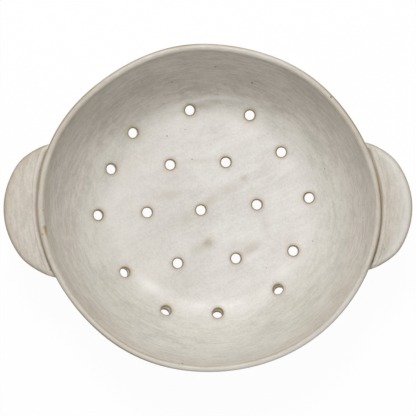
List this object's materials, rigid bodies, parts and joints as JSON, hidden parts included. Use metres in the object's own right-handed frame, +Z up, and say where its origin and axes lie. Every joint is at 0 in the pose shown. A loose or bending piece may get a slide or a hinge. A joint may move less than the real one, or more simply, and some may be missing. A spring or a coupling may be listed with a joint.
{
  "type": "fruit bowl",
  "caption": "Hand-made stoneware fruit bowl, slightly oval, with drain holes through its floor, a foot ring and a half-moon lug handle at each end.",
  "frame": {"origin": "middle of the foot ring's resting plane, on the bowl's axis", "axes": "+Z up out of the mouth, +X along the lugs towards the shorter one, +Y to the back, which is up in the picture"},
  "size_m": [0.3034, 0.2424, 0.084],
  "materials": {
    "glazed_stoneware": "satin off-white glaze that breaks to tan on edges",
    "bare_stoneware": "unglazed buff clay"
  },
  "bodies": {
    "root": {"bowl_shell": "glazed_stoneware", "foot_ring": "bare_stoneware", "left_lug": "glazed_stoneware", "left_lug_top_seam": "glazed_stoneware", "left_lug_under_seam": "glazed_stoneware", "right_lug": "glazed_stoneware", "right_lug_top_seam": "glazed_stoneware", "right_lug_under_seam": "glazed_stoneware"}
  },
  "joints": []
}
